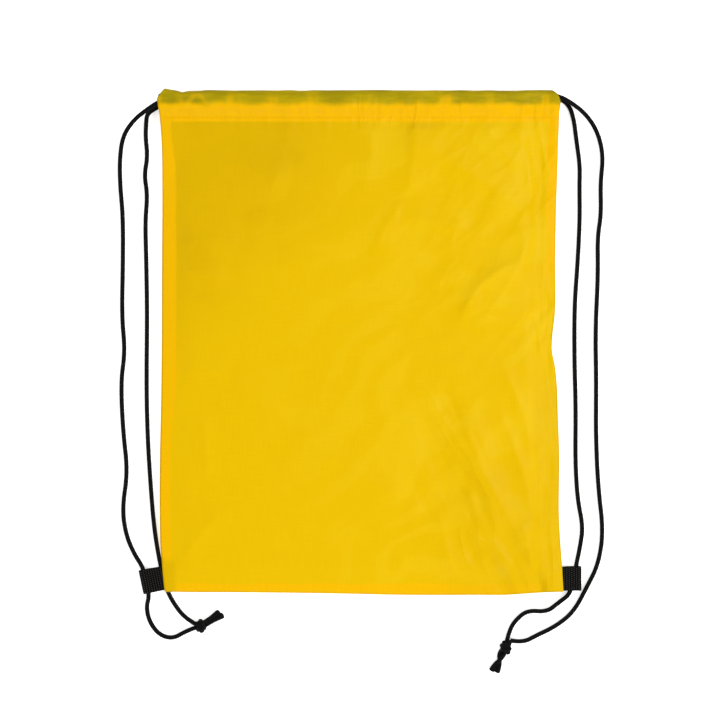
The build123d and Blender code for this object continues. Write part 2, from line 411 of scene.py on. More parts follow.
main_yellow = rgba(0.760, 0.470, 0.0004)
# darker yellow, for painted shade towards the upper left and in the lower right, and for darker cloth in the
# lower left corner and low along the right seam
painted_shade_yellow = rgba(0.668, 0.400, 0.0004)
painted_sheen_yellow = rgba(0.785, 0.508, 0.0050)  # painted sheen: lighter, whiter patches where the cloth lies on the layer behind it
double_yellow = rgba(0.850, 0.457, 0.0004)  # two or more layers of cloth
olive = rgba(0.470, 0.340, 0.0022)  # cloth over the black cords
deep_olive = rgba(0.325, 0.250, 0.0022)
weave_pitch = (0.36 * MM, 0.42 * MM)


def crease_height(uv, x, y):
    """Creases too fine for the mesh, in metres: upright ones at the hem and beside the right seam, and
    slanting ones that run up to the right above the middle of the panel and down to the right below it."""
    at_hem = ramp(y, 0.174, 0.186) * ramp(y, 0.207, 0.199) * (ramp(x, -0.05, 0.06) * 0.6 + 0.4)
    total = None
    for turn, scale, height, shown in (
        (90, 80.0, 6.0 * MM, at_hem),
        (90, 52.0, 7.0 * MM, ramp(x, 0.128, 0.150)),
        (48, 34.0, 6.5 * MM, ramp(x, 0.0, 0.09) * ramp(y, -0.03, 0.03)),
        (-62, 34.0, 8.5 * MM, ramp(x, 0.02, 0.09) * ramp(y, 0.0, -0.06)),
    ):
        along = stretched(uv, (4.0, 1), math.radians(turn), "TEXTURE")
        line = abs(noise(along, scale, 2, 0.4) - 0.5) * -height
        line = line * (shown * ramp(noise(along, scale * 0.4, 1), 0.40, 0.56))
        total = line if total is None else total + line
    return total


def cord_shadow(uv, x, y):
    """How much the cords behind the casing darken it, with gaps where the cloth is pulled."""
    along = stretched(uv, (1, 0.12))
    sway = (noise(along, 75) - 0.5) * 0.0050 + y
    band = ramp(sway, 0.1948, 0.2000) * ramp(noise(uv, 14, 1), 0.10, 0.45)
    pulled = ramp(x, 0.050, 0.065) * ramp(x, 0.115, 0.098)
    gap = ramp(pulled * 0.06 + noise(along, 62), 0.52, 0.76) * ramp(y, 0.2085, 0.1990)
    for pleat_x, pleat_slant in ((-0.1409, 0.77), (-0.1288, -0.82)):
        pleat = abs((y - 0.2) * -pleat_slant + x - pleat_x)
        pleat = ramp(pleat, 0.0040, 0.0006) * ramp(y, 0.2075, 0.2050)
        gap = calc("MAXIMUM", gap, pleat * 0.42)
    return band * (1.0 - gap * 0.75)


def cloth_material(name):
    """Thin satin-like taffeta. The UV is the place on the flat bag, in metres, with 1 added."""
    material, tree, shader = new_material(name)
    uv, x, y = rest_uv(tree)
    x = x - 1.0
    y = y - 1.0
    wobble = noise(uv, 28, 3) - 0.5
    fine_wobble = noise(uv, 140, 3) - 0.5

    # painted shade: slow changes over the panel, darker towards the upper left, in blotches
    diagonal = y - x + noise(uv, 7, 3) * 0.17
    blotch = ramp(noise(uv, 21, 3), 0.52, 0.64)
    colour = mix(ramp(diagonal, 0.16, 0.36) * (blotch * 0.35 + 0.90), main_yellow, painted_shade_yellow)

    # painted sheen: lighter, whiter patches where the cloth lies on the layer behind it
    warp = scaled(noise(uv, 9, 2, output="Color"), 0.11)
    warped = put(tree, "VectorMath", {0: uv, 1: warp}, operation="ADD")
    warped = stretched(warped, (1.6, 0.5), 0.8, "TEXTURE")
    patch = ramp(noise(warped, 19, 3), 0.50, 0.57) * ramp(x, -0.12, 0.05)
    colour = mix(patch * 0.50, colour, painted_sheen_yellow)

    # double cloth: the casing, and the seam allowances behind the cloth along the sides and the bottom
    edge = fine_wobble * 0.0016 + x
    left_inner = ramp(y, -0.085, -0.03) * 0.0045 - 0.1575
    left_inner = ramp(y, 0.135, 0.183) * -0.0040 + left_inner
    left = ramp(left_inner - edge, -0.0012, 0.0012)
    right = ramp(edge - (wobble * 0.014 + 0.1555), -0.0012, 0.0014) * ramp(y, 0.045, 0.075)
    low = ramp(wobble * 0.004 - 0.2015 - y, -0.0010, 0.0012) * ramp(x, 0.157, 0.146)
    stripe = calc("MAXIMUM", left, calc("MAXIMUM", right, low))
    stripe = calc("MAXIMUM", stripe, ramp(y, hem_y - 0.9 * MM, hem_y + 0.9 * MM))
    corner = ramp(x, -0.150, -0.156) * ramp(y, -0.176, -0.190)
    stripe = stripe * (1.0 - corner)
    colour = mix(stripe * 0.85, colour, double_yellow)

    # darker cloth in the lower left corner and along the right seam low down, and painted shade in the lower
    # right
    column = ramp(edge, 0.141, 0.149) * ramp(y, -0.010, -0.060)
    low_right = ramp(x, 0.04, 0.12) * ramp(y, -0.06, -0.14)
    darker_and_painted_shade = calc("MAXIMUM", calc("MAXIMUM", corner * 0.8, column * 0.35), low_right * 0.40)
    colour = mix(darker_and_painted_shade, colour, painted_shade_yellow)

    deep = ramp(noise(stretched(uv, (0.6, 2.4)), 62.0, 3.0), 0.34, 0.66)
    colour = mix(cord_shadow(uv, x, y), colour, mix(deep, olive, deep_olive))

    # warp and weft yarns, thicker and thinner
    yarns = noise(stretched(uv, (1, 0.02)), 2600.0, 1.0) + noise(stretched(uv, (0.02, 1)), 2600.0, 1.0)
    weave = calc("SINE", x * (math.tau / weave_pitch[0])) * calc("SINE", y * (math.tau / weave_pitch[1]))
    creases = bumped(crease_height(uv, x, y), Distance=1.0)
    feed(shader, {
        "Base Color": scaled(colour, yarns * 0.10 + 0.90),
        "Roughness": noise(uv, 60, 3) * 0.10 + 0.29,
        "Normal": bumped(yarns * 0.6 + weave * 0.5, Strength=0.25, Distance=0.00006, Normal=creases),
        "Specular IOR Level": 0.13,
    })
    return material


def cord_material():
    """Black braided polyester. The UV counts yarns around and along."""
    material, tree, shader = new_material("braided_cord")
    uv, around, along = rest_uv(tree)
    around = around * math.tau
    along = along * math.tau
    plus = calc("COSINE", (around + along) * 0.5)
    minus = calc("COSINE", (around - along) * 0.5)
    crossing = abs(plus * minus)
    fibre = noise(uv, 9, 3, 0.6)
    # painted highlight: the yarns' raised crowns, where they cross, lighter than the hollows between them
    light = crossing * (fibre * 0.7 + 0.35)
    feed(shader, {
        "Base Color": mix(light, rgba(0.001, 0.001, 0.001), rgba(0.019, 0.019, 0.019)),
        "Roughness": fibre * 0.25 + 0.50,
        "Normal": bumped(fibre * 0.35 + crossing, Strength=0.6, Distance=0.00012),
        "Specular IOR Level": 0.10,
    })
    return material


webbing_rib = 2.05 * MM  # from one rib to the next, along the strap
webbing_yarn = 1.70 * MM  # from one float of yarn to the next, across the strap


def webbing_material():
    """Black ribbed webbing. The UV is the place on the flat strap, in metres."""
    material, tree, shader = new_material("ribbed_webbing")
    uv, along, across = rest_uv(tree)
    rib = along * (1 / webbing_rib)
    crest = ramp(calc("COSINE", rib * math.tau), -0.2, 0.8)
    yarn = across * (1 / webbing_yarn) + calc("FLOOR", rib + 0.5) * 0.5
    dot = ramp(calc("COSINE", yarn * math.tau), -0.1, 0.9)
    fibre = noise(uv, 2400, 3, 0.6)
    # painted highlight: lighter where yarn floats on the ribs' crests, darker between them
    light = calc("MINIMUM", crest * dot * (fibre * 0.8 + 0.5), 1.0)
    feed(shader, {
        "Base Color": mix(light, rgba(0.001, 0.001, 0.001), rgba(0.064, 0.060, 0.056)),
        "Roughness": fibre * 0.25 + 0.45,
        "Normal": bumped(fibre * 0.3 + crest * dot, Strength=0.5, Distance=0.00012),
        "Specular IOR Level": 0.12,
    })
    return material


def thread_material():
    """Yellow sewing thread, twisted."""
    material, tree, shader = new_material("sewing_thread")
    place = put(tree, "TexCoord", {}, "Object")
    wave = {"Vector": place, "Scale": 900.0, "Distortion": 2.0, "Detail": 1.0}
    twist = put(tree, "TexWave", wave, "Fac", bands_direction="DIAGONAL")
    # painted highlight and shade: lighter on the twist's ridges, darker in its grooves
    feed(shader, {
        "Base Color": mix(twist, rgba(0.55, 0.30, 0.002), rgba(0.80, 0.50, 0.004)),
        "Roughness": 0.55,
        "Normal": bumped(twist, Strength=0.4, Distance=0.00005),
        "Specular IOR Level": 0.3,
    })
    return material


def floor_material():
    material, _, shader = new_material("pale_floor")
    feed(shader, {
        "Base Color": rgba(0.95, 0.95, 0.95),
        "Emission Color": rgba(1, 1, 1),
        "Emission Strength": 0.65,
        "Roughness": 0.9,
        "Specular IOR Level": 0.1,
    })
    return material


front_material = cloth_material("front_taffeta")
rear_material = cloth_material("rear_taffeta")
braid = cord_material()
webbing = webbing_material()
thread = thread_material()


def dress(piece, material):
    piece.data.materials.clear()
    piece.data.materials.append(material)
    return piece


# ---- cords
cord_pieces = {"left": {}, "right": {}}
cord_lines = {}


def build_cord(side, route, tab_point, cut_point, casing_end):
    """The cord's four pieces: knot to tab, tab to the cut, the strand that climbs to the front casing, and
    the rest through the casings. The left cord climbs before its casings, the right one after them."""
    line = spaced(nurbs_line(route), braid_step)
    rings = braid_rings(line, cord_r)
    first_third = line[: len(line) // 3]
    in_tab = nearest(first_third, tab_point)
    at_cut = nearest(first_third, cut_point)
    at_casing = nearest(line, casing_end)
    last = len(line) - 1
    spans = {"lower": (0, in_tab), "middle": (in_tab, at_cut)}
    if side == "left":
        spans |= {"rise": (at_cut, at_casing), "main": (at_casing, last)}
    else:
        spans |= {"main": (at_cut, at_casing), "rise": (at_casing, last)}
    for part, (a, b) in spans.items():
        piece = tube(f"{side}_cord_{part}", line[a : b + 1], rings[a : b + 1], a)
        dress(piece, braid)
        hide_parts(f"{side}_cord")
        cord_pieces[side][part] = piece
        cord_lines[side, part] = line[a : b + 1]


last_part = {"left": "main", "right": "rise"}
tab_middles = {}
for side, route, tab_x, cut_x, casing_x, casing_y in (
    ("left", left_route, -178.2, -195, -161, left_y),
    ("right", right_route, 178.9, 181, 161, right_y),
):
    low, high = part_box(f"{side}_tab")
    tab_middles[side] = (tab_x * MM, (low.y + high.y) / 2, tab_z * MM)
    cut = (cut_x * MM, -112 * MM, lies_z * MM)
    build_cord(side, route, tab_middles[side], cut, (casing_x * MM, casing_y * MM, high_z * MM))


# ---- knots and cord ends
def turned(heading):
    """Unit directions ahead and to the left of a heading in degrees from +X."""
    turn = math.radians(heading)
    return np.array((math.cos(turn), math.sin(turn), 0)), np.array((-math.sin(turn), math.cos(turn), 0))


def cut_tip(line, radius):
    """The radius at each point of a line whose end is flared a little by the cut, then sealed."""
    left = np.linspace(line_length(line), 0, len(line))
    flare = 1 + 0.46 * smooth(1 - left / (10 * MM))
    seal = np.sqrt(1 - 0.8 * np.clip(1 - left / (0.9 * MM), 0, 1) ** 2)
    return radius * flare * seal


knot_points = 30  # control points of the turns
knot_start = math.radians(200)  # where round the strands the turns begin
knot_z = 4.2  # height of its middle, in millimetres
knot_rise = 2.4  # how far above and below that the turns pass
wrap_r = 2.0 * MM  # a little more than the cord's own, since the braid opens where it bends


def build_knot(side, centre, heading, tails, turns, slide, across, tilt, drift):
    """Both strands run on through the knot to their cut ends, and a few turns of cord hold them.
    tails gives each strand's points as ahead, to the left and up, in millimetres."""
    ahead, aside = turned(heading)
    centre = np.array(centre, float)

    def place(u, v, z):
        return (*(centre[:2] + ahead[:2] * u + aside[:2] * v), z)

    starts = {"lower": cord_lines[side, "lower"][0], "main": cord_lines[side, last_part[side]][-1]}
    pieces = []
    for number, (part, points) in enumerate(tails.items()):
        route = [tuple(starts[part] / MM)] + [place(*p) for p in points]
        line = spaced(nurbs_line(route), braid_step)
        pieces.append(tube(f"{side}_cord_end_{number + 1}", line, braid_rings(line, cut_tip(line, cord_r))))
    route = []
    for t in np.linspace(0, 1, knot_points):
        angle = math.tau * turns * t + knot_start
        swell = 1 - 0.75 * abs(2 * t - 1) ** 5
        u = (t - 0.5) * slide + tilt * math.cos(angle)
        v = (t - 0.5) * drift + across * swell * math.cos(angle)
        route.append(place(u, v, knot_z + knot_rise * swell * math.sin(angle)))
    line = spaced(nurbs_line(route), braid_step)
    wrap = tube(f"{side}_knot_turns", line, braid_rings(line, wrap_r))
    pieces.append(wrap)
    for piece in pieces:
        dress(piece, braid)
        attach(piece, "bag")
    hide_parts(f"{side}_knot")
    for tail in pieces[:2]:
        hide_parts(f"{side}_cord_ends")
    return pieces


left_tails = {
    "main": [(0.5, 1.3, 4.6), (6.5, 1.3, 3.2), (11, 1.5, 2.8), (15, 1.8, 2.6), (19.4, 1.9, 2.5)],
    "lower": [(0.5, -1.3, 3.4), (6.5, -1.6, 2), (11, -1.7, 2.2), (16, -1.8, 2.4), (20.8, -1.8, 2.5)],
}
right_tails = {
    "lower": [(0, -1.2, 3.4), (7, -2.6, 2), (12, 0.3, 1.9), (16, 2, 2.3), (22.4, 2.2, 2.6)],
    "main": [(0, 1.2, 4.8), (7, 1.3, 3.8), (12, -0.4, 5.4), (16.5, -2, 3.2), (23, -2.2, 2.6)],
}
left_knot = build_knot("left", (-132.6, -237.2), 31.0, left_tails, 2.2, 6.0, 3.7, 0.9, 0.6)
right_knot = build_knot("right", (121.9, -255.2), 245.0, right_tails, 2.6, 7.6, 3.0, -0.9, 4.0)

# ---- outline of the flat bag
# Places along the bag and where its edge lies there, in millimetres.
left_edge = curve_through([
    (-212, -161.4), (-207, -162.6), (-197, -163.8), (-184, -165), (-170, -166.2), (-155, -166.6),
    (-90, -166.5), (-60, -165.8), (0, -165.1), (60, -164.9), (130, -164.6), (172, -165), (188, -166.2),
    (197, -167.2), (202, -167.7), (205, -165.7), (207, -163.3), (210, -159.3),
])
right_edge = curve_through([
    (-212, 169.8), (-205, 169.8), (-197, 169.3), (-184, 168.7), (-170, 167.7), (-150, 166.5), (-90, 166.5),
    (-60, 165.4), (-40, 164.8), (-20, 162.9), (-7, 160.5), (6, 160.9), (20, 162.6), (70, 163.2),
    (110, 163.9), (140, 164.8), (165, 165.2), (190, 165.8), (202, 165.7), (205, 164.3), (207, 162),
    (210, 158),
])
bottom_edge = curve_through([
    (-170, -208.1), (-150, -208.6), (-110, -208.8), (-60, -209.3), (-10, -210.1), (20, -210.8), (90, -211),
    (122, -210.8), (136, -209.8), (152, -208.8), (172, -208.1),
])


def tab_bulge(x, y):
    """How far each panel stands off the seam where a tab is sewn in."""
    near_left = smooth((-x - 0.150) / 0.006) * smooth((y + 0.2095) / 0.002) * smooth((-0.1855 - y) / 0.002)
    near_right = smooth((x - 0.152) / 0.006) * smooth((y + 0.2095) / 0.002) * smooth((-0.1865 - y) / 0.002)
    return 0.75 * MM * (near_left + near_right)


def seam_distance(x, y):
    """How far inside the side seams and the bottom seam a point is."""
    return x - left_edge(y), right_edge(y) - x, y - bottom_edge(x)


def rise_share(x, y):
    """0 on the seam and 1 on the flat middle of a panel."""
    def rise(distance):
        return 0.55 * smooth(distance / steep_w) + 0.45 * smooth(distance / margin_w)

    left, right, low = seam_distance(x, y)
    open_end = smooth((y - (hem_y - 60 * MM)) / (62 * MM))
    side = rise(np.minimum(left, right))
    return np.maximum(side, open_end) * rise(low)


# ---- folds in the cloth
def fold(x, y, start, end, width, height, bow=0.0):
    """A crest from start to end, all in millimetres. bow bends it sideways."""
    ax, ay = start[0] * MM, start[1] * MM
    dx, dy = end[0] * MM - ax, end[1] * MM - ay
    length = math.hypot(dx, dy)
    t = ((x - ax) * dx + (y - ay) * dy) / length**2
    across = ((y - ay) * dx - (x - ax) * dy) / length
    across = across - bow * MM * 4 * t * (1 - t)
    taper = smooth((t + 0.12) / 0.35) * smooth((1.12 - t) / 0.35)
    away = np.sqrt(across**2 + (0.9 * MM) ** 2) - 0.9 * MM
    return height * MM * taper * np.exp(-away / (width * MM))


# start, end, width, height and bow of the creases in the front panel, in millimetres
front_folds = [
    ((84, 20), (131, 67), 6, 0.8, 7), ((97, 14), (148, 108), 14, 0.8, -7),
    ((13, 76), (36, 118), 14, 0.75, 2), ((36, 118), (47, 184), 12, 0.6, -3),
    ((153, 108), (153, 6), 4.5, 0.75, 2), ((160, 70), (160, -10), 3.5, 0.55, 2),
    ((148, 43), (162, 43), 3, 0.5, 1), ((151, 0), (155, -98), 5, 0.6, -3),
    ((84, -58), (150, -190), 10, 0.8, -5), ((120, -66), (151, -178), 7, 0.65, 4),
    ((78, -60), (118, -165), 16, 0.7, 4), ((106, -163), (133, -200), 5, 0.5, 2),
    ((92, -110), (110, -205), 9, 0.55, -3), ((66, -130), (84, -206), 14, 0.6, -3),
    ((134, -150), (144, -198), 4, 0.5, 2), ((118, -20), (146, -110), 8, 0.5, 5),
    ((36, 172), (142, 104), 20, 1.0, 4), ((104, 182), (134, 146), 8, 0.6, -3),
    ((126, 184), (148, 120), 6, 0.5, 3), ((40, 108), (90, 98), 14, 0.55, -4),
    ((-149, -25), (-109, -25), 8, 0.35, 2), ((-109, -25), (-57, -67), 12, 0.4, -2),
    ((-57, -67), (-17, -107), 14, 0.4, 2), ((-17, -107), (32, -129), 14, 0.4, 2),
    ((-156, 62), (-112, 52), 8, 0.5, 2), ((-156, 92), (-104, 84), 12, 0.5, -2),
    ((-132, -60), (-128, -112), 8, 0.35, 2), ((-152, -186), (-112, -140), 10, 0.45, 2),
    ((10, 182), (2, 120), 12, 0.45, 2), ((-60, 180), (-76, 120), 14, 0.45, 2),
]
fold_strength = 3.0  # times the heights in the table


def links_between(x, y, extra, down, along):
    """Springs from each grid point to the one (down, along) away, in two sets that share no point."""
    rows, columns = x.shape
    place = np.arange(rows * columns).reshape(rows, columns)
    near = place[: rows - down, max(0, -along) : columns - max(0, along)].ravel()
    far = near + down * columns + along
    growth = (extra.flat[near] + extra.flat[far]) / 2
    rest = np.hypot(x.flat[far] - x.flat[near], y.flat[far] - y.flat[near]) * (1 + growth)
    rank = near // columns // down if down else near % columns // along
    for group in (0, 1):
        pick = rank % 2 == group
        yield near[pick], far[pick], rest[pick]


def settled(x, y, height, extra, pinned, lowest, steps=110, rounds=3, kept_speed=0.9):
    """Heights of a sheet once it has settled. extra is how much too large it is cut, as a share."""
    points = np.stack([x, y, height], axis=2).reshape(-1, 3)
    free = (~pinned).ravel().astype(float)
    groups = []
    for down, along, stiffness in (
        (0, 1, 1.0), (1, 0, 1.0), (1, 1, 0.5), (1, -1, 0.5),
        (0, 2, 0.10), (2, 0, 0.10), (2, 2, 0.07), (2, -2, 0.07),
    ):
        for near, far, rest in links_between(x, y, extra, down, along):
            share = stiffness / np.maximum(free[near] + free[far], 1)
            groups.append((near, far, rest, share * free[near], share * free[far]))
    before = points.copy()
    for _ in range(steps):
        moving = (points - before) * kept_speed * free[:, None]
        before = points.copy()
        points = points + moving
        for _ in range(rounds):
            for near, far, rest, pull_near, pull_far in groups:
                gap = points[far] - points[near]
                length = np.sqrt((gap * gap).sum(axis=1))
                gap *= (1 - rest / length)[:, None]
                points[near] += gap * pull_near[:, None]
                points[far] -= gap * pull_far[:, None]
            points[:, 2] = np.maximum(points[:, 2], lowest)
    return points[:, 2].reshape(x.shape)


def smooth_lookup(grid, first_x, first_y, step):
    """A smooth function of place from values on an even grid."""
    rows, columns = grid.shape

    def weights(t):
        """Those of a cubic B-spline, for the four nearest points."""
        return (
            (1 - t) ** 3 / 6,
            (3 * t**3 - 6 * t**2 + 4) / 6,
            (-3 * t**3 + 3 * t**2 + 3 * t + 1) / 6,
            t**3 / 6,
        )

    def at(x, y):
        u = np.clip((x - first_x) / step, 0, columns - 1.001)
        v = np.clip((y - first_y) / step, 0, rows - 1.001)
        i, j = np.floor(v).astype(int), np.floor(u).astype(int)
        total = 0.0
        for a, wa in enumerate(weights(v - i)):
            for b, wb in enumerate(weights(u - j)):
                near = grid[np.clip(i + a - 1, 0, rows - 1), np.clip(j + b - 1, 0, columns - 1)]
                total = total + wa * wb * near
        return total

    return at


def settle_front():
    """The front panel's folds: slack cloth between its sewn edges, looser to the right and low down."""
    step = 3 * MM
    xs = np.arange(-half_w, half_w + step, step)
    ys = np.arange(bottom_y, hem_y + step, step)
    x, y = np.meshgrid(xs, ys)
    right_share = smooth((x + 0.03) / 0.15)
    low_right = smooth((x - 0.02) / 0.10) * smooth((-0.01 - y) / 0.10)
    ripple = 0.20 * MM * (1 + value_noise(x, y, 12 * MM, 5)) * (0.3 + 0.7 * right_share)
    extra = 0.0002 + 0.0005 * right_share * (1 + 0.6 * value_noise(x, y, 60 * MM, 8)) + 0.0005 * low_right
    left, right, low = seam_distance(x, y)
    pinned = (left < 8 * MM) | (right < 3 * MM) | (low < 6 * MM) | (y > hem_y - 4 * MM)
    ripple[pinned] = 0
    height = settled(x, y, ripple, extra, pinned, -1.3 * MM)
    return smooth_lookup(height, xs[0], ys[0], step)


front_settled = settle_front()


def front_wrinkles(x, y):
    left, right, low = seam_distance(x, y)
    inward = np.minimum(np.minimum(left, right), low)
    height = front_settled(x, y) + fold_strength * sum(fold(x, y, *f) for f in front_folds)
    height = height * smooth((inward - 12 * MM) / (16 * MM)) * smooth((hem_y - y) / (5 * MM))
    lowest = -0.05 * MM - 1.05 * MM * smooth((inward - 22 * MM) / (40 * MM)) * smooth((0.172 - y) / 0.02)
    sag = front_sag * smooth((hem_y - y) / (75 * MM)) * rise_share(x, y)
    return np.maximum(height, lowest) + 0.22 * MM * smooth(inward / (3 * MM)) - sag


def rear_wrinkles(x, y):
    left, right, low = seam_distance(x, y)
    inward = np.minimum(np.minimum(left, right), low)
    height = 0.30 * MM * (1 + value_noise(x, y, 45 * MM, 13))
    return (height + 0.15 * MM * (1 + value_noise(x, y, 18 * MM, 14))) * smooth(inward / (20 * MM))


def puckers(x, y, seed):
    """Gathers along the hem's stitching, sharp at the stitches and fading into the panel."""
    below = np.exp(-np.maximum(stitch_y - y, 0) / (9 * MM))
    above = smooth((mouth_y - 10 * MM - y) / (6 * MM))
    strength = 0.5 + 0.5 * value_noise(x, 0 * y, 45 * MM, seed) + 0.5 * smooth((x - 0.05) / 0.06)
    lean = x + 0.25 * (y - stitch_y) * value_noise(x, 0 * y, 30 * MM, seed + 1)
    ridges = 0.7 - 1.6 * abs(value_noise(lean, 0 * y, 7 * MM, seed + 2))
    ridges = ridges + 0.5 * value_noise(lean, 0 * y, 13 * MM, seed + 3)
    at_stitch = 1 - 0.75 * np.exp(-(((y - stitch_y) / (1.1 * MM)) ** 2))
    tall = 1.5 * MM * strength * ridges * np.where(y < stitch_y, below, above) * at_stitch
    pleats = fold(x, y, (-135, 208), (-148, 190), 2.6, 1.3) + fold(x, y, (-134, 207), (-124, 194), 2.4, 1.1)
    return np.maximum(tall, -0.35 * MM) + pleats


# ---- the two cloths
column_step = 1.6 * MM
row_step = 2.4 * MM
columns = int(2 * half_w / column_step) + 1

# The casing's section from the panel, over the cords and back inside to the hem's edge:
# distance from the hem's inner edge and height above the casing's underside, in millimetres.
hem_share = 25.8 / 27.6  # the cloth's mouth stands a little inside the CAD casing's
front_hem = [
    (0, 0.4), (3, 0.42), (5, 0.65), (8, 1.9), (11.5, 3.9), (14.5, 5), (16.5, 5.25), (18.3, 5.35),
    (20.3, 5.05), (22.6, 5.35), (25, 5.2), (27.3, 4.1), (27.6, 2), (26.2, 0.45), (22, 0.15), (14, 0.15),
    (7, 0.15), (0.6, 0.15),
]
rear_hem = [
    (0, 0.35), (10, 0.35), (20, 0.35), (25.2, 0.45), (27.4, 1.6), (27.5, 3.8), (25.2, 5.1), (22.6, 5.35),
    (20.3, 5.05), (18.3, 5.35), (16.5, 5.25), (14.5, 5), (11, 3.4), (7.5, 1.6), (5, 1), (3, 0.75),
    (0.6, 0.7),
]


def column_x(y, inset=0):
    """Where the grid's columns stand at y, from one edge of the bag to the other."""
    return left_edge(y) + inset + (right_edge(y) - left_edge(y) - 2 * inset) * np.linspace(0, 1, columns)


def build_cloth(name, hem, base_z, middle_z, wrinkles, material, seed):
    """One panel with its casing, as a single sheet: panel rows, then rows along the casing's section."""
    panel_y = np.linspace(0, 1, int((hem_y - bottom_y) / row_step) + 1)[:-1]
    section = spaced(nurbs_line([(0, y * hem_share, z) for y, z in hem]), 1.25 * MM)
    outward = 1 if middle_z > seam_z else -1
    rows = []
    uvs = []
    for share in panel_y:
        x = column_x(hem_y)
        y = bottom_edge(x) + (hem_y - bottom_edge(x)) * share
        x = column_x(y)
        rise = rise_share(x, y)
        seam = seam_z + outward * tab_bulge(x, y) * (1 - rise)
        z = seam + (middle_z - seam) * rise + wrinkles(x, y) + rise * puckers(x, y, seed) * (outward > 0)
        rows.append(np.stack([x, y, z], axis=1))
        uvs.append(np.stack([x, y], axis=1))
    turn = int(np.argmax(section[:, 1]))
    for i, (_, dy, dz) in enumerate(section):
        y = np.full(columns, hem_y + dy)
        outer = i <= turn
        x = column_x(y, 0 if outer else 0.8 * MM)
        lift = dz * np.ones(columns)
        shows = outer if outward > 0 else not outer
        if shows:
            lift = lift + puckers(x, y, seed) * smooth((dy + 2 * MM) / (3 * MM))
            lift = np.maximum(lift, 0.35 * MM)
        if dy > 20 * MM:
            ragged = 0.40 * MM * value_noise(x, 0 * x, 11 * MM, seed + 9)
            ragged = ragged + fold(x, 0 * x, (-162, -40), (-162, 40), 4, 1.6)
            ragged = ragged - fold(x, 0 * x, (-147, -40), (-147, 40), 3, 1.5)
            y = y + ragged * smooth((dy - 20 * MM) / (5 * MM))
        z = base_z + lift
        if outer:
            z = z + wrinkles(x, y) * smooth((3 * MM - dy) / (3 * MM))
        rows.append(np.stack([x, y, z], axis=1))
        seen_y = hem_y + dy if outer else 2 * (hem_y + section[turn, 1]) - (hem_y + dy)
        uvs.append(np.stack([x, np.full(columns, seen_y)], axis=1))
    grid = np.array(rows)
    uv = np.array(uvs) + 1.0
    piece = cloth_sheet(name, grid, uv)
    dress(piece, material)
    return piece, grid


front_cloth, front_grid = build_cloth(
    "front_cloth", front_hem, front_casing_z, front_z, front_wrinkles, front_material, 21
)
rear_cloth, rear_grid = build_cloth("rear_cloth", rear_hem, 0.0, rear_z, rear_wrinkles, rear_material, 41)
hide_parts("front_panel", "front_casing")
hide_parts("rear_panel", "rear_casing")


# ---- seam allowances
def allowance(side, edge, inward, axis, trim, steps, seed):
    """A strip of two layers from a seam inwards, and the line of its raw edge. It runs along x where axis
    is 0 and along y where it is 1. trim is how much shorter it is at each end than its CAD piece."""
    low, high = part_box(f"{side}_seam_allowance")
    place = low[axis] + trim + (high[axis] - low[axis] - 2 * trim) * np.linspace(0, 1, steps)
    ragged = 0.5 * MM * value_noise(place, 0.0, 12 * MM, seed)
    sewn = np.full((steps, 3), seam_z)
    sewn[:, axis] = place
    raw = sewn.copy()
    sewn[:, 1 - axis] = edge(place) + inward * 0.6 * MM
    raw[:, 1 - axis] = edge(place) + inward * (high[1 - axis] - low[1 - axis] + ragged)
    across = np.linspace(0, 1, 9)[None, :, None]
    grid = sewn[:, None, :] * (1 - across) + raw[:, None, :] * across
    wave = value_noise(grid[:, :, 0] * 3, grid[:, :, 1] * 3, 30 * MM, 61) * 0.15 * MM
    grid[:, :, 2] = seam_z + (wave - 0.15 * MM) * smooth(across[:, :, 0])
    piece = cloth_sheet(f"{side}_allowance", grid, grid[:, :, :2] + 1.0, 0.5 * MM)
    dress(piece, rear_material)
    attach(piece, "bag")
    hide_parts(f"{side}_seam_allowance")
    return piece, raw


# ---- stitches
def stitch(points, faces, centre, along, up, length, width, height):
    """Adds one stitch to the lists: a thread that comes up, runs along and goes down again."""
    along = np.array(along, float) / np.linalg.norm(along)
    up = np.array(up, float) / np.linalg.norm(up)
    side = np.cross(along, up)
    rings, around = 7, 6
    first = len(points)
    for i in range(rings):
        t = i / (rings - 1) * 2 - 1
        arch = height * (1 - t**4) - height * 0.55
        fat = 0.55 + 0.45 * math.sqrt(max(0.0, 1 - t**6))
        for j in range(around):
            a = math.tau * j / around
            offset = side * math.cos(a) * width / 2 + up * math.sin(a) * width / 2
            points.append(centre + along * t * length / 2 + up * arch + offset * fat)
    faces += grid_faces(rings, around, first, flip=True, close=True)
    faces.append(tuple(first + j for j in range(around)))
    faces.append(tuple(first + (rings - 1) * around + j for j in range(around))[::-1])


def stitch_row(name, line, up, body, length=3.0 * MM, pitch=3.8 * MM, across=None, node=None):
    """Stitches along a line. across turns each one across the line instead, as an overlock has them."""
    points, faces = [], []
    total = line_length(line)
    count = int(total // pitch)
    places = spaced(line, total / (count * 4))
    for k in range(count):
        i = min(4 * k + 2, len(places) - 2)
        along = places[i + 1] - places[i - 1]
        if across is not None:
            along = np.array(across, float)
        stitch(points, faces, places[i], along, up, length, 0.42 * MM, 0.26 * MM)
    piece = new_object(name, points, faces)
    dress(piece, thread)
    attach(piece, body)
    if node:
        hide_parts(node)
    return piece


def hem_line(grid, outer=True):
    """The line where a cloth's hem is stitched, on its outer or its inner layer."""
    turn = int(np.argmax(grid[:, columns // 2, 1]))
    layer = grid[:turn] if outer else grid[turn:]
    line = layer[int(np.argmin(abs(layer[:, columns // 2, 1] - stitch_y)))]
    inset = 2 * MM
    return line[(line[:, 0] > line[0, 0] + inset) & (line[:, 0] < line[-1, 0] - inset)]


